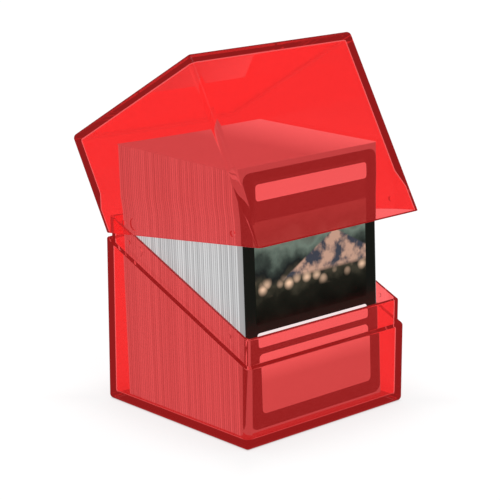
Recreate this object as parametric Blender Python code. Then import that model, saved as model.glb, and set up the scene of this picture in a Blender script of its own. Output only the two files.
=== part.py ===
"""Card deck box: a see-through base shell with a stepped collar, and a lid shell that slides over it.

Units are metres. +X runs along the front's width, the front faces -Y, +Z is up, and the origin is
at the centre of the base's underside. The parting line runs in one plane that slopes down from the
rear wall to the front wall. The lid is stored tilted back about the base's rear edge.
"""
from math import atan2, cos, pi, radians, sin

import bmesh
import bpy
from mathutils import Matrix, Vector

# Closed box
WIDTH = 0.0764                  # X, outer
DEPTH = 0.0744                  # Y, outer
HEIGHT = 0.0976                 # Z, outer, lid closed
CORNER_RADIUS = 0.0018          # every outer edge
ROUND_STEPS = 5                 # faces across a rounded edge

# Parting plane, on the base's outer faces
REAR_SHOULDER = 0.0602          # height at the rear face
FRONT_SHOULDER = 0.0285         # height at the front face
PARTING_GAP = 0.00035           # vertical gap between base and closed lid

# Base shell
BASE_WALL = 0.00265             # below the shoulder
FLOOR = 0.0026
CAVITY_RADIUS = 0.0012
COLLAR_STEP = 0.00165           # from the outer face in to the collar
COLLAR_RISE = 0.0088            # collar's top above the shoulder
COLLAR_RADIUS = 0.00055

# Lid shell: a thin skirt round the collar, a ramp, and a thicker wall flush with the base's
LID_SKIRT = 0.0012
LID_WALL = 0.00265
LID_TOP = 0.00255
SKIRT_RISE = 0.0094             # skirt's top above the shoulder
RAMP_RISE = 0.0152              # ramp's top above the shoulder
SKIRT_RADIUS = 0.00085          # upright inner corners of the skirt
LID_EDGE_RADIUS = 0.0010        # round between the lid's inner walls and its top

# Snap features: distance from the rear face, bump or boss radius, pocket radius
SMALL_SNAPS = ((0.0114, 0.0008, 0.0011), (0.0638, 0.0008, 0.0011))
BOSS_FROM_REAR = 0.0168
BOSS_RADIUS = 0.0019
BOSS_POCKET_RADIUS = 0.0023
SNAP_RISE = 0.0047              # snap centres above the shoulder
SNAP_PROUD = 0.00025            # how far bumps and bosses stand out of the collar
POCKET_DEPTH = 0.0006           # how deep the lid's pockets are
SNAP_SIDES = 20                 # faces round a snap feature

# Lid tilt
HINGE_Y = DEPTH / 2 + 0.0021    # axis just behind the rear face
HINGE_Z = REAR_SHOULDER + 0.0012
TILT = radians(30.1)            # stored pose

SPARE = 0.010                   # how far guides run past what they cut or join
RUBY = (0.72, 0.012, 0.020, 1.0)

SLOPE = (REAR_SHOULDER - FRONT_SHOULDER) / DEPTH
HINGE = Vector((0.0, HINGE_Y, HINGE_Z))


def clear_scene():
    for old in list(bpy.data.objects):
        bpy.data.objects.remove(old, do_unlink=True)


def new_collection(name):
    collection = bpy.data.collections.new(name)
    bpy.context.scene.collection.children.link(collection)
    return collection


def shoulder_height(y):
    """Height of the parting plane at depth y."""
    return FRONT_SHOULDER + (y + DEPTH / 2) * SLOPE


def rounded_block(width, depth, low, high, radius, rounded_end=None):
    """A block centred on Z, with its upright edges and one end ("low" or "high") rounded."""
    mesh = bmesh.new()
    size = Matrix.Diagonal((width, depth, high - low, 1.0))
    centre = Matrix.Translation((0.0, 0.0, (low + high) / 2))
    bmesh.ops.create_cube(mesh, size=1.0, matrix=centre @ size)
    end = {"low": low, "high": high}.get(rounded_end)
    edges = []
    for edge in mesh.edges:
        first, second = (vertex.co for vertex in edge.verts)
        upright = abs(first.z - second.z) > radius
        at_end = end is not None and max(abs(first.z - end), abs(second.z - end)) < radius
        if upright or at_end:
            edges.append(edge)
    bmesh.ops.bevel(mesh, geom=edges, offset=radius, offset_type="OFFSET", segments=ROUND_STEPS,
                    profile=0.5, affect="EDGES")
    return mesh


def ring_loft(rings):
    """A closed block through rounded rings: (inset, corner radius, height, height is on slope)."""
    mesh = bmesh.new()
    loops = []
    for inset, radius, height, on_slope in rings:
        half_x, half_y = WIDTH / 2 - inset, DEPTH / 2 - inset
        loop = []
        for quarter, (side_x, side_y) in enumerate(((1, 1), (-1, 1), (-1, -1), (1, -1))):
            for step in range(ROUND_STEPS + 1):
                angle = (quarter + step / ROUND_STEPS) * pi / 2
                x = side_x * (half_x - radius) + radius * cos(angle)
                y = side_y * (half_y - radius) + radius * sin(angle)
                z = height + (shoulder_height(y) if on_slope else 0.0)
                loop.append(mesh.verts.new((x, y, z)))
        loops.append(loop)
    for loop, following in zip(loops, loops[1:]):
        for place in range(len(loop)):
            after = (place + 1) % len(loop)
            mesh.faces.new((loop[place], loop[after], following[after], following[place]))
    mesh.faces.new(loops[0])
    mesh.faces.new(loops[-1])
    bmesh.ops.recalc_face_normals(mesh, faces=mesh.faces[:])
    return mesh


def cut_on_slope(mesh, rise, keep):
    """Cut a block on the parting plane, lifted by rise, and close the cut."""
    point = Vector((0.0, 0.0, shoulder_height(0.0) + rise))
    normal = Vector((0.0, -SLOPE, 1.0)).normalized()
    cut = bmesh.ops.bisect_plane(mesh, geom=mesh.verts[:] + mesh.edges[:] + mesh.faces[:],
                                 dist=1e-7, plane_co=point, plane_no=normal,
                                 clear_outer=keep == "below", clear_inner=keep == "above")
    rim = [item for item in cut["geom_cut"] if isinstance(item, bmesh.types.BMEdge)]
    bmesh.ops.contextual_create(mesh, geom=rim)
    bmesh.ops.recalc_face_normals(mesh, faces=mesh.faces[:])


def add_object(name, mesh, collection, parent=None, guide=False):
    """Turn a bmesh into an object; a child's mesh is moved so that its origin is its parent's."""
    if parent is not None:
        bmesh.ops.translate(mesh, vec=-Vector(parent.location), verts=mesh.verts[:])
    data = bpy.data.meshes.new(name)
    mesh.to_mesh(data)
    mesh.free()
    piece = bpy.data.objects.new(name, data)
    collection.objects.link(piece)
    piece.parent = parent
    if guide:
        piece.hide_render = True
        piece.display_type = "WIRE"
    else:
        data.shade_smooth()
        data.set_sharp_from_angle(angle=radians(30.0))
    return piece


def boolean(piece, guide, operation):
    modifier = piece.modifiers.new(guide.name, "BOOLEAN")
    modifier.operation = operation
    modifier.solver = "EXACT"
    modifier.object = guide


def plastic(name):
    """Clear tinted moulded plastic."""
    material = bpy.data.materials.new(name)
    material.use_nodes = True
    shader = material.node_tree.nodes["Principled BSDF"]
    shader.inputs["Base Color"].default_value = RUBY
    shader.inputs["Metallic"].default_value = 0.0
    shader.inputs["Roughness"].default_value = 0.06
    shader.inputs["IOR"].default_value = 1.49
    shader.inputs["Transmission Weight"].default_value = 0.9
    return material


def snap_place(from_rear):
    """Depth and height of a snap feature."""
    y = DEPTH / 2 - from_rear
    return y, shoulder_height(y) + SNAP_RISE


def add_bump(mesh, side, from_rear, radius):
    """A shallow dome on the collar: a flattened ball, half sunk in the wall."""
    y, z = snap_place(from_rear)
    place = Matrix.Translation((side * (WIDTH / 2 - COLLAR_STEP), y, z))
    flatten = Matrix.Diagonal((SNAP_PROUD / radius, 1.0, 1.0, 1.0))
    bmesh.ops.create_uvsphere(mesh, u_segments=SNAP_SIDES, v_segments=SNAP_SIDES // 2,
                              radius=radius, matrix=place @ flatten @ Matrix.Rotation(pi / 2, 4, "Y"))


def add_disc(mesh, side, from_rear, radius, low, high, lean=0.0):
    """A round plug along X between two distances from the box's middle, leaning by an angle."""
    y, z = snap_place(from_rear)
    turn = Matrix.Rotation(lean, 4, "Z") @ Matrix.Rotation(side * pi / 2, 4, "Y")
    place = Matrix.Translation((side * (low + high) / 2, y, z)) @ turn
    bmesh.ops.create_cone(mesh, cap_ends=True, segments=SNAP_SIDES, radius1=radius, radius2=radius,
                          depth=high - low, matrix=place)


def snap_bosses():
    """The collar's bumps and sloping bosses on both sides."""
    mesh = bmesh.new()
    collar_face = WIDTH / 2 - COLLAR_STEP
    lean = atan2(SNAP_PROUD, 2 * BOSS_RADIUS)
    for side in (-1, 1):
        for from_rear, radius, _ in SMALL_SNAPS:
            add_bump(mesh, side, from_rear, radius)
        add_disc(mesh, side, BOSS_FROM_REAR, BOSS_RADIUS, collar_face - BASE_WALL / 2,
                 collar_face + SNAP_PROUD / 2 * cos(lean), lean=side * lean)
    return mesh


def snap_pockets():
    """The round pockets inside the lid's side walls, where the closed lid meets the snaps."""
    mesh = bmesh.new()
    inner_face = WIDTH / 2 - LID_SKIRT
    places = [(from_rear, pocket) for from_rear, _, pocket in SMALL_SNAPS]
    places.append((BOSS_FROM_REAR, BOSS_POCKET_RADIUS))
    for side in (-1, 1):
        for from_rear, radius in places:
            add_disc(mesh, side, from_rear, radius, inner_face - LID_SKIRT, inner_face + POCKET_DEPTH)
    return mesh


def build_base(parts, guides):
    outer = rounded_block(WIDTH, DEPTH, 0.0, HEIGHT, CORNER_RADIUS, "low")
    cut_on_slope(outer, 0.0, "below")
    base = add_object("base_shell", outer, parts)

    collar = rounded_block(WIDTH - 2 * COLLAR_STEP, DEPTH - 2 * COLLAR_STEP, FLOOR / 2,
                           HEIGHT + SPARE, COLLAR_RADIUS)
    cut_on_slope(collar, COLLAR_RISE, "below")
    boolean(base, add_object("collar_guide", collar, guides, guide=True), "UNION")
    boolean(base, add_object("snap_guide", snap_bosses(), guides, guide=True), "UNION")

    cavity = rounded_block(WIDTH - 2 * BASE_WALL, DEPTH - 2 * BASE_WALL, FLOOR,
                           HEIGHT + 2 * SPARE, CAVITY_RADIUS, "low")
    boolean(base, add_object("cavity_cutter", cavity, guides, guide=True), "DIFFERENCE")
    base.data.materials.append(plastic("base_plastic"))


def lid_cavity():
    """The closed lid's inside: past the skirt, up the ramp, then up the wall to the top."""
    inner_top = HEIGHT - LID_TOP
    rings = [(LID_SKIRT, SKIRT_RADIUS, -SPARE, False),
             (LID_SKIRT, SKIRT_RADIUS, SKIRT_RISE, True),
             (LID_WALL, CAVITY_RADIUS, RAMP_RISE, True)]
    for step in range(ROUND_STEPS + 1):
        angle = step / ROUND_STEPS * pi / 2
        shrink = LID_EDGE_RADIUS * (1.0 - cos(angle))
        rings.append((LID_WALL + shrink, CAVITY_RADIUS - shrink,
                      inner_top - LID_EDGE_RADIUS * (1.0 - sin(angle)), False))
    return ring_loft(rings)


def build_lid(parts, guides, hinge):
    outer = rounded_block(WIDTH, DEPTH, 0.0, HEIGHT, CORNER_RADIUS, "high")
    cut_on_slope(outer, PARTING_GAP, "above")
    lid = add_object("lid_shell", outer, parts, hinge)

    cavity = lid_cavity()
    boolean(lid, add_object("lid_cavity_cutter", cavity, guides, hinge, guide=True), "DIFFERENCE")
    boolean(lid, add_object("pocket_cutter", snap_pockets(), guides, hinge, guide=True), "DIFFERENCE")
    lid.data.materials.append(plastic("lid_plastic"))


def main():
    clear_scene()
    parts = new_collection("card_deck_box")
    guides = new_collection("cutters")
    hinge = bpy.data.objects.new("lid_hinge", None)
    parts.objects.link(hinge)
    hinge.location = HINGE
    build_base(parts, guides)
    build_lid(parts, guides, hinge)
    hinge.rotation_euler.x = -TILT


main()
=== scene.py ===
"""Looks for a card deck box: a see-through ruby base shell and a lid shell tilted back on it.

Units are metres, +Z is up and the front faces -Y, as in the CAD model. The two shells are lofted
from rings, with softened rims, and stand for the CAD shells. The deck of cards, the floor and the
lights are staging and not part of the object.
"""

from math import atan2, cos, pi, radians, sin

import bmesh
import bpy
from mathutils import Matrix, Vector


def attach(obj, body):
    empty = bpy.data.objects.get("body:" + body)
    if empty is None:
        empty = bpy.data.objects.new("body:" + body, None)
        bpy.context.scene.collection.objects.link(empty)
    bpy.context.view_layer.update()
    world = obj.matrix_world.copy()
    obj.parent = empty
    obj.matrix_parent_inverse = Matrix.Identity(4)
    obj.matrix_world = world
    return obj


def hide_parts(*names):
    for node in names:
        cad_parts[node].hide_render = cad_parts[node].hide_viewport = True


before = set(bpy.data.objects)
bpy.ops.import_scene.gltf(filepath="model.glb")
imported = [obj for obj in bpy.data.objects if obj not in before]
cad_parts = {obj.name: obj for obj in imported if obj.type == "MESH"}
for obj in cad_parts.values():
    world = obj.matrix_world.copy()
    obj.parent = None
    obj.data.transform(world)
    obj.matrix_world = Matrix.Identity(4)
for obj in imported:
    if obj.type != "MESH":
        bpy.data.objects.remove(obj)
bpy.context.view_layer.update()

MM = 0.001

# Closed box, as in the CAD model
WIDTH = 76.4 * MM
DEPTH = 74.4 * MM
HEIGHT = 97.6 * MM
CORNER = 1.8 * MM               # upright outer edges
EDGE = 1.7 * MM                 # bottom and top outer edges
REAR_SHOULDER = 60.2 * MM
FRONT_SHOULDER = 28.5 * MM
PARTING_GAP = 0.35 * MM

# Base shell
BASE_WALL = 2.65 * MM
FLOOR = 2.6 * MM
CAVITY_CORNER = 1.2 * MM
CAVITY_EDGE = 1.1 * MM          # round between walls and floor
COLLAR_STEP = 1.65 * MM
COLLAR_RISE = 8.8 * MM
COLLAR_CORNER = 0.55 * MM
COLLAR_FOOT = 0.12 * MM         # round where the collar meets the shoulder

# Lid shell: a thin skirt round the collar, a ramp, and a thicker wall flush with the base's
LID_SKIRT = 1.2 * MM
LID_WALL = 2.65 * MM
LID_TOP = 2.55 * MM
SKIRT_RISE = 9.4 * MM           # skirt's top above the shoulder
RAMP_RISE = 15.2 * MM           # ramp's top above the shoulder
SKIRT_CORNER = 0.85 * MM
LID_CAVITY_EDGE = 1.0 * MM

# Softened rims and the faces across rounds
RIM = 0.26 * MM
CORNER_STEPS = 10
EDGE_STEPS = 8
RIM_STEPS = 3

# Snap features: distance from the rear face, bump radius, pocket radius
SMALL_SNAPS = ((11.4 * MM, 0.8 * MM, 1.1 * MM), (63.8 * MM, 0.8 * MM, 1.1 * MM))
BOSS_FROM_REAR = 16.8 * MM
BOSS_RADIUS = 1.9 * MM
BOSS_POCKET_RADIUS = 2.3 * MM
SNAP_RISE = 4.7 * MM
SNAP_PROUD = 0.25 * MM
POCKET_DEPTH = 0.6 * MM
SNAP_SIDES = 40

SMOOTH_BELOW = radians(40.0)    # edges turning less than this are shaded smooth

# Plastic: tint taken at each wall, a painted glow on front faces standing in for light scattered
# inside it, absorption on the way
WALL_TINT = (0.735, 0.135, 0.135, 1.0)
WALL_DEEP_TINT = (0.710, 0.125, 0.127, 1.0)
PAINTED_HAZE_GLOW = (0.275, 0.008, 0.008, 1.0)
DEPTH_COLOUR = (0.70, 0.0, 0.0, 1.0)
DEPTH_DENSITY = 30.0
PLASTIC_IOR = 1.49
RIPPLE_DEPTH = 0.02 * MM

# Lid tilt
HINGE = Vector((0.0, DEPTH / 2 + 2.1 * MM, REAR_SHOULDER + 1.2 * MM))
TILT = radians(30.1)

# Deck of sleeved cards
CARD_SIZE = (63 * MM, 88 * MM)
SLEEVE_SIZE = (66 * MM, 91 * MM)
CARD_CORNER = 3.0 * MM
CARD_FOOT = Vector((0.6 * MM, -DEPTH / 2 + 7 * MM, 3.75 * MM))
SLEEVE_FOOT = 2.7 * MM
STACK_DEPTH = 59.6 * MM
SLEEVE_PITCH = 1.02 * MM
DECK_LEAN = radians(2.7)
DECK_PAINTED_LIGHT = 0.85                # painted light: share of a deck colour that glows, standing in for light let in by the clear walls

# Printed areas of the front card, measured down from its top edge
HEAD_SPAN = (3.0 * MM, 17.0 * MM)
TITLE_SPAN = (4.2 * MM, 9.8 * MM)
PICTURE_SPAN = (16.0 * MM, 52.0 * MM)
TYPE_BAR_SPAN = (55.0 * MM, 60.0 * MM)
TEXT_SPAN = (62.3 * MM, 83.0 * MM)
INK_STEP = 0.1 * MM             # each printed layer's thickness

# Camera
CAMERA_AZIMUTH = radians(-42.76)
CAMERA_ELEVATION = radians(15.02)
CAMERA_DISTANCE = 671.97 * MM
CAMERA_TARGET = Vector((-1.41 * MM, 1.32 * MM, 55.7 * MM))
CAMERA_LENS = 136.66            # mm, on a 36 mm sensor

SLOPE = (REAR_SHOULDER - FRONT_SHOULDER) / DEPTH


def shoulder_height(y):
    """Height of the parting plane at depth y."""
    return FRONT_SHOULDER + (y + DEPTH / 2) * SLOPE


# ---------------------------------------------------------------- node helpers

def add_node(tree, kind, at=(0, 0), **settings):
    node = tree.nodes.new(kind)
    node.location = at
    for name, value in settings.items():
        setattr(node, name, value)
    return node


def wire(tree, *pairs):
    for out_socket, in_socket in pairs:
        tree.links.new(out_socket, in_socket)


def new_group(name, kind, inputs, outputs):
    """A node group with named sockets: inputs are (name, type, default), outputs (name, type)."""
    tree = bpy.data.node_groups.new(name, kind)
    for label, socket_type, default in inputs:
        socket = tree.interface.new_socket(label, in_out="INPUT", socket_type=socket_type)
        if default is not None:
            socket.default_value = default
    for label, socket_type in outputs:
        tree.interface.new_socket(label, in_out="OUTPUT", socket_type=socket_type)
    return tree


def new_material(name):
    material = bpy.data.materials.new(name)
    material.use_nodes = True
    tree = material.node_tree
    return material, tree, tree.nodes["Principled BSDF"]


# ---------------------------------------------------------------- materials

def moulded_finish_group():
    """Slow colour drift, slightly uneven gloss and the faint waviness of a moulded face."""
    tree = new_group(
        "moulded_finish", "ShaderNodeTree",
        [("Tint", "NodeSocketColor", (1.0, 0.1, 0.1, 1.0)),
         ("Deep Tint", "NodeSocketColor", (0.9, 0.08, 0.08, 1.0)),
         ("Drift Size", "NodeSocketFloat", 30.0),
         ("Gloss Low", "NodeSocketFloat", 0.0),
         ("Gloss High", "NodeSocketFloat", 0.02),
         ("Waviness", "NodeSocketFloat", 0.1)],
        [("Colour", "NodeSocketColor"), ("Roughness", "NodeSocketFloat"),
         ("Normal", "NodeSocketVector")])
    given = add_node(tree, "NodeGroupInput", (-900, 0))
    result = add_node(tree, "NodeGroupOutput", (500, 0))
    place = add_node(tree, "ShaderNodeTexCoord", (-900, -300))
    drift = add_node(tree, "ShaderNodeTexNoise", (-500, 200))
    drift.inputs["Detail"].default_value = 1.0
    tint = add_node(tree, "ShaderNodeMix", (0, 250), data_type="RGBA")
    haze = add_node(tree, "ShaderNodeTexNoise", (-500, -80))
    haze.inputs["Scale"].default_value = 140.0
    haze.inputs["Detail"].default_value = 3.0
    gloss = add_node(tree, "ShaderNodeMapRange", (0, 0))
    ripple = add_node(tree, "ShaderNodeTexNoise", (-500, -360))
    ripple.inputs["Scale"].default_value = 45.0
    ripple.inputs["Detail"].default_value = 0.0
    bump = add_node(tree, "ShaderNodeBump", (0, -300))
    bump.inputs["Distance"].default_value = RIPPLE_DEPTH
    wire(tree,
         (place.outputs["Object"], drift.inputs["Vector"]),
         (place.outputs["Object"], haze.inputs["Vector"]),
         (place.outputs["Object"], ripple.inputs["Vector"]),
         (given.outputs["Drift Size"], drift.inputs["Scale"]),
         (drift.outputs["Fac"], tint.inputs["Factor"]),
         (given.outputs["Tint"], tint.inputs["A"]),
         (given.outputs["Deep Tint"], tint.inputs["B"]),
         (haze.outputs["Fac"], gloss.inputs["Value"]),
         (given.outputs["Gloss Low"], gloss.inputs["To Min"]),
         (given.outputs["Gloss High"], gloss.inputs["To Max"]),
         (ripple.outputs["Fac"], bump.inputs["Height"]),
         (given.outputs["Waviness"], bump.inputs["Strength"]),
         (tint.outputs["Result"], result.inputs["Colour"]),
         (gloss.outputs["Result"], result.inputs["Roughness"]),
         (bump.outputs["Normal"], result.inputs["Normal"]))
    return tree


def see_through_plastic(name, finish, values):
    """Clear tinted plastic: the tint is taken once at each wall, the rest along the path inside.
    Its front faces glow a dim red, painted light standing in for light scattered in the plastic.
    """
    material, tree, shader = new_material(name)
    shader.inputs["Metallic"].default_value = 0.0
    shader.inputs["IOR"].default_value = PLASTIC_IOR
    shader.inputs["Transmission Weight"].default_value = 1.0
    group = add_node(tree, "ShaderNodeGroup", (-300, 0), node_tree=finish)
    for label, value in values.items():
        group.inputs[label].default_value = value
    depth = add_node(tree, "ShaderNodeVolumeAbsorption", (0, -500))
    depth.inputs["Color"].default_value = DEPTH_COLOUR
    depth.inputs["Density"].default_value = DEPTH_DENSITY
    # Painted glow: front faces emit a dim red, back faces none, in place of light scattered inside
    # the plastic
    side = add_node(tree, "ShaderNodeNewGeometry", (-500, 300))
    glow = add_node(tree, "ShaderNodeMix", (-300, 300), data_type="RGBA")
    glow.inputs["A"].default_value = PAINTED_HAZE_GLOW
    glow.inputs["B"].default_value = (0.0, 0.0, 0.0, 1.0)
    shader.inputs["Emission Strength"].default_value = 1.0
    wire(tree,
         (side.outputs["Backfacing"], glow.inputs["Factor"]),
         (glow.outputs["Result"], shader.inputs["Emission Color"]),
         (group.outputs["Colour"], shader.inputs["Base Color"]),
         (group.outputs["Roughness"], shader.inputs["Roughness"]),
         (group.outputs["Normal"], shader.inputs["Normal"]),
         (depth.outputs["Volume"], tree.nodes["Material Output"].inputs["Volume"]))
    return material


def painted_light_glow(tree, shader, colour):
    """Split a staging colour: part glows as painted light, standing in for light let in by the
    clear walls, part is lit.
    """
    lit = add_node(tree, "ShaderNodeMix", (-150, -200), data_type="RGBA")
    lit.inputs["Factor"].default_value = DECK_PAINTED_LIGHT
    lit.inputs["B"].default_value = (0.0, 0.0, 0.0, 1.0)
    shader.inputs["Emission Strength"].default_value = DECK_PAINTED_LIGHT
    shader.inputs["Specular IOR Level"].default_value = 0.2
    wire(tree,
         (colour, lit.inputs["A"]),
         (lit.outputs["Result"], shader.inputs["Base Color"]),
         (colour, shader.inputs["Emission Color"]))


def plain_material(name, colour, roughness):
    """A staging material of one printed colour."""
    material, tree, shader = new_material(name)
    shader.inputs["Roughness"].default_value = roughness
    ink = add_node(tree, "ShaderNodeRGB", (-400, 0))
    ink.outputs["Color"].default_value = colour
    painted_light_glow(tree, shader, ink.outputs["Color"])
    return material


# ---------------------------------------------------------------- shells

def arc(inset, height, radius, start, stop, steps):
    """Points (inset, height) round part of a circle; 180 degrees faces out, 90 faces up."""
    points = []
    for step in range(steps + 1):
        angle = radians(start + (stop - start) * step / steps)
        points.append((inset + radius * cos(angle), height + radius * sin(angle)))
    return points


def add_ring(mesh, inset, height, corner, sloped):
    """A ring round the box's plan, moved in by inset; a sloped one follows the parting plane."""
    half_x, half_y = WIDTH / 2 - inset, DEPTH / 2 - inset
    ring = []
    for quarter, (side_x, side_y) in enumerate(((1, 1), (-1, 1), (-1, -1), (1, -1))):
        for step in range(CORNER_STEPS + 1):
            angle = (quarter + step / CORNER_STEPS) * pi / 2
            x = side_x * (half_x - corner) + corner * cos(angle)
            y = side_y * (half_y - corner) + corner * sin(angle)
            z = height + (shoulder_height(y) if sloped else 0.0)
            ring.append(mesh.verts.new((x, y, z)))
    return ring


def loft_shell(sections):
    """A closed shell through rings. Each section is (points, sloped, inset, corner there)."""
    mesh = bmesh.new()
    rings = []
    for points, sloped, corner_inset, corner in sections:
        for inset, height in points:
            radius = max(corner - (inset - corner_inset), 0.04 * MM)
            rings.append(add_ring(mesh, inset, height, radius, sloped))
    count = len(rings[0])
    for ring, following in zip(rings, rings[1:]):
        for place in range(count):
            after = (place + 1) % count
            mesh.faces.new((ring[place], ring[after], following[after], following[place]))
    mesh.faces.new(rings[0])
    mesh.faces.new(rings[-1])
    bmesh.ops.recalc_face_normals(mesh, faces=mesh.faces[:])
    return mesh


def base_mesh():
    """The base from the middle of its underside, up and over the collar, down to the floor."""
    return loft_shell([
        (arc(EDGE, EDGE, EDGE, 270, 180, EDGE_STEPS), False, 0.0, CORNER),
        (arc(RIM, -RIM, RIM, 180, 90, RIM_STEPS), True, 0.0, CORNER),
        (arc(COLLAR_STEP - COLLAR_FOOT, COLLAR_FOOT, COLLAR_FOOT, 270, 360, RIM_STEPS),
         True, COLLAR_STEP, COLLAR_CORNER),
        (arc(COLLAR_STEP + RIM, COLLAR_RISE - RIM, RIM, 180, 90, RIM_STEPS),
         True, COLLAR_STEP, COLLAR_CORNER),
        (arc(BASE_WALL - RIM, COLLAR_RISE - RIM, RIM, 90, 0, RIM_STEPS),
         True, BASE_WALL, CAVITY_CORNER),
        (arc(BASE_WALL + CAVITY_EDGE, FLOOR + CAVITY_EDGE, CAVITY_EDGE, 180, 270, EDGE_STEPS),
         False, BASE_WALL, CAVITY_CORNER),
    ])


def lid_mesh():
    """The closed lid from the middle of its top, down and round the rim, up to its inner top."""
    inner_top = HEIGHT - LID_TOP
    return loft_shell([
        (arc(EDGE, HEIGHT - EDGE, EDGE, 90, 180, EDGE_STEPS), False, 0.0, CORNER),
        (arc(RIM, PARTING_GAP + RIM, RIM, 180, 270, RIM_STEPS), True, 0.0, CORNER),
        (arc(LID_SKIRT - RIM, PARTING_GAP + RIM, RIM, 270, 360, RIM_STEPS)
         + [(LID_SKIRT, SKIRT_RISE)], True, LID_SKIRT, SKIRT_CORNER),
        ([(LID_WALL, RAMP_RISE)], True, LID_WALL, CAVITY_CORNER),
        (arc(LID_WALL + LID_CAVITY_EDGE, inner_top - LID_CAVITY_EDGE, LID_CAVITY_EDGE,
             180, 90, EDGE_STEPS), False, LID_WALL, CAVITY_CORNER),
    ])


def snap_place(from_rear):
    """Depth and height of a snap feature."""
    y = DEPTH / 2 - from_rear
    return y, shoulder_height(y) + SNAP_RISE


def add_bump(mesh, side, from_rear, radius):
    """A shallow dome on the collar: a flattened ball, half sunk in the wall."""
    y, z = snap_place(from_rear)
    place = Matrix.Translation((side * (WIDTH / 2 - COLLAR_STEP), y, z))
    flatten = Matrix.Diagonal((SNAP_PROUD / radius, 1.0, 1.0, 1.0))
    bmesh.ops.create_uvsphere(mesh, u_segments=SNAP_SIDES, v_segments=SNAP_SIDES // 2,
                              radius=radius,
                              matrix=place @ flatten @ Matrix.Rotation(pi / 2, 4, "Y"))


def add_disc(mesh, side, from_rear, radius, low, high, lean=0.0):
    """A round plug along X between two distances from the box's middle, leaning by an angle."""
    y, z = snap_place(from_rear)
    turn = Matrix.Rotation(lean, 4, "Z") @ Matrix.Rotation(side * pi / 2, 4, "Y")
    place = Matrix.Translation((side * (low + high) / 2, y, z)) @ turn
    bmesh.ops.create_cone(mesh, cap_ends=True, segments=SNAP_SIDES, radius1=radius,
                          radius2=radius, depth=high - low, matrix=place)


def snap_bosses():
    """The collar's bumps and sloping bosses on both sides."""
    mesh = bmesh.new()
    collar_face = WIDTH / 2 - COLLAR_STEP
    lean = atan2(SNAP_PROUD, 2 * BOSS_RADIUS)
    for side in (-1, 1):
        for from_rear, radius, _ in SMALL_SNAPS:
            add_bump(mesh, side, from_rear, radius)
        add_disc(mesh, side, BOSS_FROM_REAR, BOSS_RADIUS, collar_face - 0.6 * MM,
                 collar_face + SNAP_PROUD / 2 * cos(lean), lean=side * lean)
    return mesh


def snap_pockets():
    """The round pockets inside the lid's side walls, where the closed lid meets the snaps."""
    mesh = bmesh.new()
    inner_face = WIDTH / 2 - LID_SKIRT
    places = [(from_rear, pocket) for from_rear, _, pocket in SMALL_SNAPS]
    places.append((BOSS_FROM_REAR, BOSS_POCKET_RADIUS))
    for side in (-1, 1):
        for from_rear, radius in places:
            add_disc(mesh, side, from_rear, radius, inner_face - LID_SKIRT,
                     inner_face + POCKET_DEPTH)
    return mesh


def scratch_object(name, mesh):
    data = bpy.data.meshes.new(name)
    mesh.to_mesh(data)
    mesh.free()
    thing = bpy.data.objects.new(name, data)
    bpy.context.scene.collection.objects.link(thing)
    return thing


def settled(thing, name):
    """The evaluated mesh of an object as a new plain object; the old one is removed."""
    graph = bpy.context.evaluated_depsgraph_get()
    data = bpy.data.meshes.new_from_object(thing.evaluated_get(graph), depsgraph=graph)
    bpy.data.objects.remove(thing, do_unlink=True)
    data.name = name
    piece = bpy.data.objects.new(name, data)
    bpy.context.scene.collection.objects.link(piece)
    return piece


def finished_shell(name, shell, snaps, operation, material, pose=None):
    """A shell joined or cut with its snap features, smoothed so that flat faces stay flat."""
    body = scratch_object(name + "_blank", shell)
    tool = scratch_object(name + "_tool", snaps)
    modifier = body.modifiers.new("snaps", "BOOLEAN")
    modifier.operation = operation
    modifier.solver = "EXACT"
    modifier.object = tool
    body = settled(body, name + "_cut")
    bpy.data.objects.remove(tool, do_unlink=True)
    body.data.shade_smooth()
    body.data.set_sharp_from_angle(angle=SMOOTH_BELOW)
    weighted = body.modifiers.new("flat_faces", "WEIGHTED_NORMAL")
    weighted.keep_sharp = True
    weighted.weight = 100
    piece = settled(body, name)
    if pose is not None:
        piece.data.transform(pose)
    piece.data.materials.clear()
    piece.data.materials.append(material)
    return piece


# ---------------------------------------------------------------- deck of cards (staging)

def deck_place(foot):
    """From the deck's own upright frame, standing on its foot, to its place in the box."""
    return Matrix.Translation(foot) @ Matrix.Rotation(-DECK_LEAN, 4, "X")


def flat_panel(name, left, right, low, high, corner, lift, thick, material):
    """A rounded plate on the front card, measured from the middle of its lower edge."""
    mesh = bmesh.new()
    outline = []
    for quarter, (x, z) in enumerate(((right, high), (left, high), (left, low), (right, low))):
        side_x, side_z = (-1, 1, 1, -1)[quarter], (-1, -1, 1, 1)[quarter]
        for step in range(7):
            angle = (quarter + step / 6) * pi / 2
            outline.append(mesh.verts.new((x + side_x * corner + corner * cos(angle), -lift,
                                           z + side_z * corner + corner * sin(angle))))
    face = mesh.faces.new(outline)
    grown = bmesh.ops.extrude_face_region(mesh, geom=[face])
    moved = [item for item in grown["geom"] if isinstance(item, bmesh.types.BMVert)]
    bmesh.ops.translate(mesh, vec=(0.0, thick, 0.0), verts=moved)
    bmesh.ops.recalc_face_normals(mesh, faces=mesh.faces[:])
    plate = scratch_object(name, mesh)
    plate.data.transform(deck_place(CARD_FOOT))
    plate.data.materials.append(material)
    return plate


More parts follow.
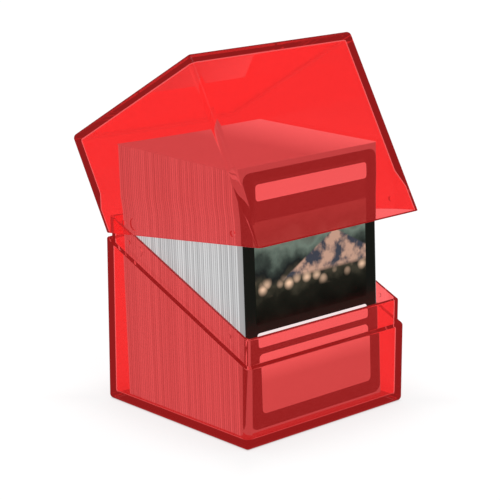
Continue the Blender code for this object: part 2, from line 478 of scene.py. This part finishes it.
def sleeve_stack_tree(material):
    """A row of thin plates, each a little off its neighbours, with its own shade."""
    tree = new_group(
        "sleeve_stack", "GeometryNodeTree",
        [("Count", "NodeSocketInt", 96), ("Pitch", "NodeSocketFloat", SLEEVE_PITCH),
         ("Lean", "NodeSocketFloat", DECK_LEAN),
         ("Width", "NodeSocketFloat", SLEEVE_SIZE[0]),
         ("Height", "NodeSocketFloat", SLEEVE_SIZE[1]),
         ("Fill", "NodeSocketFloat", 0.72), ("Stray", "NodeSocketFloat", 0.07 * MM),
         ("Seed", "NodeSocketInt", 7)],
        [("Geometry", "NodeSocketGeometry")])
    given = add_node(tree, "NodeGroupInput", (-1200, 0))
    result = add_node(tree, "NodeGroupOutput", (900, 0))
    back = add_node(tree, "ShaderNodeCombineXYZ", (-1100, 200))
    step = add_node(tree, "ShaderNodeVectorRotate", (-900, 200), rotation_type="X_AXIS")
    row = add_node(tree, "GeometryNodeMeshLine", (-700, 300), mode="OFFSET")
    thick = add_node(tree, "ShaderNodeMath", (-900, -200), operation="MULTIPLY")
    size = add_node(tree, "ShaderNodeCombineXYZ", (-700, -150))
    plate = add_node(tree, "GeometryNodeMeshCube", (-500, -150))
    lift = add_node(tree, "ShaderNodeMath", (-700, -350), operation="MULTIPLY")
    lift.inputs[1].default_value = 0.5
    raise_by = add_node(tree, "ShaderNodeCombineXYZ", (-500, -350))
    stand = add_node(tree, "GeometryNodeTransform", (-300, -150))
    copies = add_node(tree, "GeometryNodeInstanceOnPoints", (-100, 200))
    least = add_node(tree, "ShaderNodeVectorMath", (-500, 600), operation="SCALE")
    least.inputs[0].default_value = (-1.0, -0.3, -0.5)
    most = add_node(tree, "ShaderNodeVectorMath", (-500, 450), operation="SCALE")
    most.inputs[0].default_value = (1.0, 0.3, 0.5)
    stray = add_node(tree, "FunctionNodeRandomValue", (-300, 500), data_type="FLOAT_VECTOR")
    shift = add_node(tree, "GeometryNodeTranslateInstances", (100, 200))
    shade = add_node(tree, "FunctionNodeRandomValue", (100, -100), data_type="FLOAT")
    mark = add_node(tree, "GeometryNodeStoreNamedAttribute", (300, 200), data_type="FLOAT",
                    domain="INSTANCE")
    mark.inputs["Name"].default_value = "shade"
    solid = add_node(tree, "GeometryNodeRealizeInstances", (500, 200))
    paint = add_node(tree, "GeometryNodeSetMaterial", (700, 200))
    paint.inputs["Material"].default_value = material
    wire(tree,
         (given.outputs["Pitch"], back.inputs["Y"]),
         (back.outputs["Vector"], step.inputs["Vector"]),
         (given.outputs["Lean"], step.inputs["Angle"]),
         (given.outputs["Count"], row.inputs["Count"]),
         (step.outputs["Vector"], row.inputs["Offset"]),
         (given.outputs["Pitch"], thick.inputs[0]),
         (given.outputs["Fill"], thick.inputs[1]),
         (given.outputs["Width"], size.inputs["X"]),
         (thick.outputs["Value"], size.inputs["Y"]),
         (given.outputs["Height"], size.inputs["Z"]),
         (size.outputs["Vector"], plate.inputs["Size"]),
         (given.outputs["Height"], lift.inputs[0]),
         (lift.outputs["Value"], raise_by.inputs["Z"]),
         (plate.outputs["Mesh"], stand.inputs["Geometry"]),
         (raise_by.outputs["Vector"], stand.inputs["Translation"]),
         (row.outputs["Mesh"], copies.inputs["Points"]),
         (stand.outputs["Geometry"], copies.inputs["Instance"]),
         (given.outputs["Stray"], least.inputs["Scale"]),
         (given.outputs["Stray"], most.inputs["Scale"]),
         (least.outputs["Vector"], stray.inputs["Min"]),
         (most.outputs["Vector"], stray.inputs["Max"]),
         (given.outputs["Seed"], stray.inputs["Seed"]),
         (copies.outputs["Instances"], shift.inputs["Instances"]),
         (stray.outputs["Value"], shift.inputs["Translation"]),
         (given.outputs["Seed"], shade.inputs["Seed"]),
         (shift.outputs["Instances"], mark.inputs["Geometry"]),
         (shade.outputs[1], mark.inputs["Value"]),
         (mark.outputs["Geometry"], solid.inputs["Geometry"]),
         (solid.outputs["Geometry"], paint.inputs["Geometry"]),
         (paint.outputs["Geometry"], result.inputs["Geometry"]))
    return tree


def sleeve_material():
    """White sleeves whose edges differ in shade from one to the next, with painted shade on the
    faces turned to the next sleeve, in the gaps.
    """
    material, tree, shader = new_material("sleeve_edges")
    shader.inputs["Roughness"].default_value = 0.5
    shade = add_node(tree, "ShaderNodeAttribute", (-500, 0), attribute_name="shade")
    ramp = add_node(tree, "ShaderNodeValToRGB", (-300, 0))
    ramp.color_ramp.elements[0].color = (0.52, 0.52, 0.525, 1.0)
    ramp.color_ramp.elements[1].color = (0.72, 0.72, 0.725, 1.0)
    # Painted shade: faces turned to the next sleeve are darkened toward a dark grey, for the shade
    # in the gaps
    facing = add_node(tree, "ShaderNodeNewGeometry", (-900, -300))
    turned = add_node(tree, "ShaderNodeSeparateXYZ", (-700, -300))
    between = add_node(tree, "ShaderNodeMath", (-500, -300), operation="ABSOLUTE")
    shadow = add_node(tree, "ShaderNodeMapRange", (-300, -300))
    shadow.inputs["To Max"].default_value = 0.55
    painted_gap_shade = add_node(tree, "ShaderNodeMix", (-50, 100), data_type="RGBA")
    painted_gap_shade.inputs["B"].default_value = (0.16, 0.16, 0.16, 1.0)
    wire(tree,
         (shade.outputs["Fac"], ramp.inputs["Fac"]),
         (facing.outputs["Normal"], turned.inputs["Vector"]),
         (turned.outputs["Y"], between.inputs[0]),
         (between.outputs["Value"], shadow.inputs["Value"]),
         (shadow.outputs["Result"], painted_gap_shade.inputs["Factor"]),
         (ramp.outputs["Color"], painted_gap_shade.inputs["A"]))
    painted_light_glow(tree, shader, painted_gap_shade.outputs["Result"])
    return material


def graded_material(name, axis, start, stop, first, last):
    """A staging colour that changes evenly along one axis, with a little mottling."""
    material, tree, shader = new_material(name)
    shader.inputs["Roughness"].default_value = 0.5
    place = add_node(tree, "ShaderNodeTexCoord", (-1300, 0))
    parts = add_node(tree, "ShaderNodeSeparateXYZ", (-1100, 0))
    along = add_node(tree, "ShaderNodeMapRange", (-900, 0))
    along.inputs["From Min"].default_value = start
    along.inputs["From Max"].default_value = stop
    grain = add_node(tree, "ShaderNodeTexNoise", (-900, -250))
    grain.inputs["Scale"].default_value = 60.0
    soft = add_node(tree, "ShaderNodeMath", (-700, -100), operation="MULTIPLY_ADD")
    soft.inputs[1].default_value = 0.1
    ramp = add_node(tree, "ShaderNodeValToRGB", (-500, 0))
    ramp.color_ramp.elements[0].color = first
    ramp.color_ramp.elements[1].color = last
    wire(tree,
         (place.outputs["Object"], parts.inputs["Vector"]),
         (place.outputs["Object"], grain.inputs["Vector"]),
         (parts.outputs[axis], along.inputs["Value"]),
         (grain.outputs["Fac"], soft.inputs[0]),
         (along.outputs["Result"], soft.inputs[2]),
         (soft.outputs["Value"], ramp.inputs["Fac"]))
    painted_light_glow(tree, shader, ramp.outputs["Color"])
    return material


def add_deck_top():
    """A thin cover over the sleeves' upper edges, with painted shade: grey over the left half,
    lightening to white at the right edge.
    """
    mesh = bmesh.new()
    bmesh.ops.create_cube(mesh, size=1.0)
    cover = scratch_object("sleeved_deck_top", mesh)
    back = CARD_FOOT.y + SLEEVE_PITCH + SLEEVE_SIZE[1] * sin(DECK_LEAN)
    height = SLEEVE_FOOT + SLEEVE_SIZE[1] * cos(DECK_LEAN)
    middle = Vector((0.0, back + (STACK_DEPTH - SLEEVE_PITCH) / 2, height))
    cover.data.transform(Matrix.Translation(middle)
                         @ Matrix.Diagonal((SLEEVE_SIZE[0], STACK_DEPTH, 0.2 * MM, 1.0)))
    # Painted shade: the tops run from grey over the left half to white at the right edge
    cover.data.materials.append(graded_material(
        "sleeve_tops_painted_shade", "X", 0.0, SLEEVE_SIZE[0] / 2,
        (0.43, 0.43, 0.435, 1.0), (1.0, 1.0, 1.0, 1.0)))


def build_deck():
    sleeves = sleeve_material()
    ink = plain_material("card_border", (0.007, 0.008, 0.006, 1.0), 0.4)
    frame_tone = plain_material("card_frame", (0.040, 0.032, 0.028, 1.0), 0.4)
    pale = plain_material("card_panels", (0.95, 0.86, 0.86, 1.0), 0.5)
    text_top = CARD_FOOT.z + CARD_SIZE[1] - TEXT_SPAN[0]
    parchment = graded_material("card_text_panel", "Z", text_top - 10 * MM, text_top - 2 * MM,
                                (0.52, 0.46, 0.44, 1.0), (0.96, 0.88, 0.86, 1.0))
    picture = picture_material()

    stack = scratch_object("sleeved_deck_blank", bmesh.new())
    maker = stack.modifiers.new("sleeves", "NODES")
    maker.node_group = sleeve_stack_tree(sleeves)
    inputs = {item.name: item.identifier for item in maker.node_group.interface.items_tree
              if item.in_out == "INPUT"}
    maker[inputs["Count"]] = round(STACK_DEPTH / SLEEVE_PITCH)
    stack = settled(stack, "sleeved_deck")
    stack.data.transform(deck_place((0.0, CARD_FOOT.y + SLEEVE_PITCH, SLEEVE_FOOT)))
    add_deck_top()

    half = CARD_SIZE[0] / 2
    top = CARD_SIZE[1]
    flat_panel("card_face", -half, half, 0.0, top, CARD_CORNER, 0.0, 0.3 * MM, ink)
    flat_panel("card_head", -half + 4.8 * MM, half - 4.8 * MM, top - HEAD_SPAN[1],
               top - HEAD_SPAN[0], 1.0 * MM, INK_STEP / 2, INK_STEP, frame_tone)
    left, right = -half + 5.0 * MM, half - 4.9 * MM
    for name, inset, span, corner, material in (
            ("card_title", 0.3 * MM, TITLE_SPAN, 1.2 * MM, pale),
            ("card_picture", 0.0, PICTURE_SPAN, 0.3 * MM, picture),
            ("card_type_bar", 0.2 * MM, TYPE_BAR_SPAN, 1.0 * MM, pale),
            ("card_text_box", 0.4 * MM, TEXT_SPAN, 1.6 * MM, parchment)):
        flat_panel(name, left + inset, right, top - span[1], top - span[0], corner,
                   INK_STEP, INK_STEP, material)


def picture_material():
    """A generic night view: misty sky over dark hills, one lit peak, lamps along the ground."""
    material, tree, shader = new_material("card_picture")
    shader.inputs["Roughness"].default_value = 0.35
    place = add_node(tree, "ShaderNodeTexCoord", (-1900, 0))
    parts = add_node(tree, "ShaderNodeSeparateXYZ", (-1700, 0))
    height = add_node(tree, "ShaderNodeMapRange", (-1500, 0), clamp=False)
    card_top = CARD_FOOT.z + CARD_SIZE[1]
    height.inputs["From Min"].default_value = card_top - PICTURE_SPAN[1]
    height.inputs["From Max"].default_value = card_top - PICTURE_SPAN[0]
    cloud = add_node(tree, "ShaderNodeTexNoise", (-1500, -300))
    cloud.inputs["Scale"].default_value = 130.0
    cloud.inputs["Detail"].default_value = 6.0
    drift = add_node(tree, "ShaderNodeMath", (-1300, -100), operation="MULTIPLY_ADD")
    drift.inputs[1].default_value = 0.5
    level = add_node(tree, "ShaderNodeMath", (-1100, 0), operation="SUBTRACT")
    level.inputs[1].default_value = 0.25
    sky = add_node(tree, "ShaderNodeValToRGB", (-900, 0))
    tones = ((0.0, (0.002, 0.003, 0.002)), (0.24, (0.012, 0.012, 0.008)),
             (0.36, (0.05, 0.045, 0.03)), (0.46, (0.012, 0.014, 0.014)),
             (0.58, (0.045, 0.06, 0.05)), (0.72, (0.16, 0.21, 0.17)),
             (0.86, (0.10, 0.11, 0.09)), (1.0, (0.16, 0.15, 0.13)))
    while len(sky.color_ramp.elements) < len(tones):
        sky.color_ramp.elements.new(0.5)
    for element, (at, tone) in zip(sky.color_ramp.elements, tones):
        element.position = at
        element.color = (*tone, 1.0)

    aside = add_node(tree, "ShaderNodeMath", (-1500, 400), operation="SUBTRACT")
    aside.inputs[1].default_value = 12.0 * MM
    spread = add_node(tree, "ShaderNodeMath", (-1300, 400), operation="ABSOLUTE")
    slope = add_node(tree, "ShaderNodeMath", (-1100, 400), operation="MULTIPLY_ADD")
    slope.inputs[1].default_value = -15.0
    slope.inputs[2].default_value = 0.76
    inside = add_node(tree, "ShaderNodeMath", (-900, 400), operation="SUBTRACT")
    peak = add_node(tree, "ShaderNodeMapRange", (-700, 400))
    peak.inputs["From Max"].default_value = 0.02
    foot = add_node(tree, "ShaderNodeMapRange", (-900, 600))
    foot.inputs["From Min"].default_value = 0.36
    foot.inputs["From Max"].default_value = 0.40
    share = add_node(tree, "ShaderNodeMath", (-500, 400), operation="MULTIPLY")
    rock = add_node(tree, "ShaderNodeTexNoise", (-900, 800))
    rock.inputs["Scale"].default_value = 240.0
    rock.inputs["Detail"].default_value = 5.0
    rock_tone = add_node(tree, "ShaderNodeValToRGB", (-700, 800))
    for element, at, tone in zip(rock_tone.color_ramp.elements, (0.42, 0.60),
                                 ((0.05, 0.055, 0.075, 1.0), (0.55, 0.33, 0.24, 1.0))):
        element.position = at
        element.color = tone
    with_peak = add_node(tree, "ShaderNodeMix", (-350, 200), data_type="RGBA")

    lamps = add_node(tree, "ShaderNodeTexVoronoi", (-1100, -500))
    lamps.inputs["Scale"].default_value = 190.0
    spark = add_node(tree, "ShaderNodeMapRange", (-900, -500))
    spark.inputs["From Min"].default_value = 0.48
    spark.inputs["From Max"].default_value = 0.12
    low_row = add_node(tree, "ShaderNodeMath", (-1100, -750), operation="SUBTRACT")
    low_row.inputs[1].default_value = 0.33
    off_row = add_node(tree, "ShaderNodeMath", (-900, -750), operation="ABSOLUTE")
    row = add_node(tree, "ShaderNodeMapRange", (-700, -750))
    row.inputs["From Min"].default_value = 0.10
    row.inputs["From Max"].default_value = 0.0
    glow = add_node(tree, "ShaderNodeMath", (-500, -600), operation="MULTIPLY")
    with_lamps = add_node(tree, "ShaderNodeMix", (-150, 100), data_type="RGBA")
    with_lamps.inputs["B"].default_value = (0.95, 0.62, 0.42, 1.0)
    wire(tree,
         (place.outputs["Object"], parts.inputs["Vector"]),
         (place.outputs["Object"], cloud.inputs["Vector"]),
         (place.outputs["Object"], rock.inputs["Vector"]),
         (place.outputs["Object"], lamps.inputs["Vector"]),
         (parts.outputs["Z"], height.inputs["Value"]),
         (cloud.outputs["Fac"], drift.inputs[0]),
         (height.outputs["Result"], drift.inputs[2]),
         (drift.outputs["Value"], level.inputs[0]),
         (level.outputs["Value"], sky.inputs["Fac"]),
         (parts.outputs["X"], aside.inputs[0]),
         (aside.outputs["Value"], spread.inputs[0]),
         (spread.outputs["Value"], slope.inputs[0]),
         (slope.outputs["Value"], inside.inputs[0]),
         (height.outputs["Result"], inside.inputs[1]),
         (inside.outputs["Value"], peak.inputs["Value"]),
         (height.outputs["Result"], foot.inputs["Value"]),
         (peak.outputs["Result"], share.inputs[0]),
         (foot.outputs["Result"], share.inputs[1]),
         (rock.outputs["Fac"], rock_tone.inputs["Fac"]),
         (share.outputs["Value"], with_peak.inputs["Factor"]),
         (sky.outputs["Color"], with_peak.inputs["A"]),
         (rock_tone.outputs["Color"], with_peak.inputs["B"]),
         (lamps.outputs["Distance"], spark.inputs["Value"]),
         (height.outputs["Result"], low_row.inputs[0]),
         (low_row.outputs["Value"], off_row.inputs[0]),
         (off_row.outputs["Value"], row.inputs["Value"]),
         (spark.outputs["Result"], glow.inputs[0]),
         (row.outputs["Result"], glow.inputs[1]),
         (glow.outputs["Value"], with_lamps.inputs["Factor"]),
         (with_peak.outputs["Result"], with_lamps.inputs["A"]))
    painted_light_glow(tree, shader, with_lamps.outputs["Result"])
    return material


# ---------------------------------------------------------------- studio

FLOOR_GLOW = 0.84
FLOOR_ALBEDO = 0.20
PAINTED_CONTACT_SHADOW = 0.09            # painted shadow: how much the floor's glow drops where the box stands
PAINTED_SHADOW_REACH = 26 * MM
MIRROR_SHARE = 0.06             # how much of the room a mirror reflection sees


def mirror_dimmer(tree, at):
    """One for what is seen directly or through the walls, the mirror share for reflections."""
    path = add_node(tree, "ShaderNodeLightPath", at)
    reflected = add_node(tree, "ShaderNodeMath", (at[0] + 200, at[1]), operation="SUBTRACT",
                         use_clamp=True)
    seen = add_node(tree, "ShaderNodeMapRange", (at[0] + 400, at[1]))
    seen.inputs["To Min"].default_value = 1.0
    seen.inputs["To Max"].default_value = MIRROR_SHARE
    wire(tree,
         (path.outputs["Is Glossy Ray"], reflected.inputs[0]),
         (path.outputs["Is Transmission Ray"], reflected.inputs[1]),
         (reflected.outputs["Value"], seen.inputs["Value"]))
    return seen


def build_floor():
    """A pale floor, part lit and part glowing, so that shadows on it stay faint; its glow is cut
    under the box and dimmed round it, a painted shadow.
    """
    mesh = bmesh.new()
    bmesh.ops.create_grid(mesh, x_segments=1, y_segments=1, size=4.0)
    floor = scratch_object("studio_floor", mesh)
    material, tree, shader = new_material("studio_floor")
    shader.inputs["Base Color"].default_value = (0.9, 0.9, 0.9, 1.0)
    shader.inputs["Roughness"].default_value = 1.0
    shader.inputs["Specular IOR Level"].default_value = 0.0
    shader.inputs["Emission Color"].default_value = (1.0, 1.0, 1.0, 1.0)
    place = add_node(tree, "ShaderNodeTexCoord", (-1100, 0))
    fold = add_node(tree, "ShaderNodeVectorMath", (-900, 0), operation="ABSOLUTE")
    parts = add_node(tree, "ShaderNodeSeparateXYZ", (-700, 0))
    scaled = add_node(tree, "ShaderNodeMath", (-500, -100), operation="MULTIPLY")
    scaled.inputs[1].default_value = WIDTH / DEPTH
    reach = add_node(tree, "ShaderNodeMath", (-300, 0), operation="MAXIMUM")
    # Painted shadow: the floor's glow fades to nothing under the box
    painted_shadow_under_box = add_node(tree, "ShaderNodeMapRange", (-150, 0), interpolation_type="SMOOTHSTEP")
    painted_shadow_under_box.inputs["From Min"].default_value = WIDTH / 2 - 3.0 * MM
    painted_shadow_under_box.inputs["From Max"].default_value = WIDTH / 2
    # Painted shadow: the floor's glow is dimmed within a reach round the box
    painted_contact_shadow = add_node(tree, "ShaderNodeMapRange", (-150, -250), interpolation_type="SMOOTHSTEP")
    painted_contact_shadow.inputs["From Min"].default_value = WIDTH / 2 - 4 * MM
    painted_contact_shadow.inputs["From Max"].default_value = WIDTH / 2 + PAINTED_SHADOW_REACH
    painted_contact_shadow.inputs["To Min"].default_value = FLOOR_GLOW - PAINTED_CONTACT_SHADOW
    painted_contact_shadow.inputs["To Max"].default_value = FLOOR_GLOW
    glowing = add_node(tree, "ShaderNodeMath", (50, -100), operation="MULTIPLY")
    seen = mirror_dimmer(tree, (-500, 300))
    strength = add_node(tree, "ShaderNodeMath", (50, 100), operation="MULTIPLY")
    shade = add_node(tree, "ShaderNodeMath", (50, 300), operation="MULTIPLY")
    shade.inputs[1].default_value = FLOOR_ALBEDO
    wire(tree,
         (place.outputs["Object"], fold.inputs[0]),
         (fold.outputs["Vector"], parts.inputs["Vector"]),
         (parts.outputs["Y"], scaled.inputs[0]),
         (parts.outputs["X"], reach.inputs[0]),
         (scaled.outputs["Value"], reach.inputs[1]),
         (reach.outputs["Value"], painted_shadow_under_box.inputs["Value"]),
         (reach.outputs["Value"], painted_contact_shadow.inputs["Value"]),
         (painted_shadow_under_box.outputs["Result"], glowing.inputs[0]),
         (painted_contact_shadow.outputs["Result"], glowing.inputs[1]),
         (glowing.outputs["Value"], strength.inputs[0]),
         (seen.outputs["Result"], strength.inputs[1]),
         (seen.outputs["Result"], shade.inputs[0]),
         (shade.outputs["Value"], shader.inputs["Base Color"]),
         (strength.outputs["Value"], shader.inputs["Emission Strength"]))
    floor.data.materials.append(material)


def build_world():
    """Even white light; mirror reflections see a dimmer room, as among dark studio flags."""
    world = bpy.data.worlds.new("studio")
    bpy.context.scene.world = world
    world.use_nodes = True
    tree = world.node_tree
    light = tree.nodes["Background"]
    light.inputs["Color"].default_value = (1.0, 1.0, 1.0, 1.0)
    seen = mirror_dimmer(tree, (-700, 0))
    wire(tree, (seen.outputs["Result"], light.inputs["Strength"]))


def build_lights():
    light = bpy.data.lights.new("softbox", "AREA")
    light.shape = "RECTANGLE"
    light.size = 0.8
    light.size_y = 0.8
    light.energy = 1.5
    lamp = bpy.data.objects.new("softbox", light)
    lamp.location = (-0.5, -0.6, 1.2)
    lamp.rotation_euler = (Vector((0, 0, 0.05)) - lamp.location).to_track_quat("-Z", "Y").to_euler()
    bpy.context.scene.collection.objects.link(lamp)


def build_camera():
    look = Vector((-sin(CAMERA_AZIMUTH) * cos(CAMERA_ELEVATION),
                   cos(CAMERA_AZIMUTH) * cos(CAMERA_ELEVATION), -sin(CAMERA_ELEVATION)))
    data = bpy.data.cameras.new("camera")
    data.lens = CAMERA_LENS
    data.sensor_width = 36.0
    data.clip_start = 0.05
    data.clip_end = 20.0
    camera = bpy.data.objects.new("camera", data)
    camera.location = CAMERA_TARGET - look * CAMERA_DISTANCE
    camera.rotation_euler = look.to_track_quat("-Z", "Y").to_euler()
    bpy.context.scene.collection.objects.link(camera)
    bpy.context.scene.camera = camera


def main():
    bpy.context.scene.view_settings.view_transform = "Standard"
    build_camera()
    build_world()
    build_lights()
    build_floor()

    finish = moulded_finish_group()
    base_plastic = see_through_plastic("base_plastic_clear", finish, {
        "Tint": WALL_TINT, "Deep Tint": WALL_DEEP_TINT, "Drift Size": 25.0,
        "Gloss Low": 0.0, "Gloss High": 0.02, "Waviness": 0.1})
    lid_plastic = see_through_plastic("lid_plastic_clear", finish, {
        "Tint": WALL_TINT, "Deep Tint": WALL_DEEP_TINT, "Drift Size": 18.0,
        "Gloss Low": 0.0, "Gloss High": 0.02, "Waviness": 0.1})

    base = finished_shell("base_shell_clear", base_mesh(), snap_bosses(), "UNION", base_plastic)
    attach(base, "base")
    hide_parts("base_shell")

    tilt = (Matrix.Translation(HINGE) @ Matrix.Rotation(-TILT, 4, "X")
            @ Matrix.Translation(-HINGE))
    lid = finished_shell("lid_shell_clear", lid_mesh(), snap_pockets(), "DIFFERENCE",
                         lid_plastic, tilt)
    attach(lid, "lid")
    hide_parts("lid_shell")

    build_deck()


main()
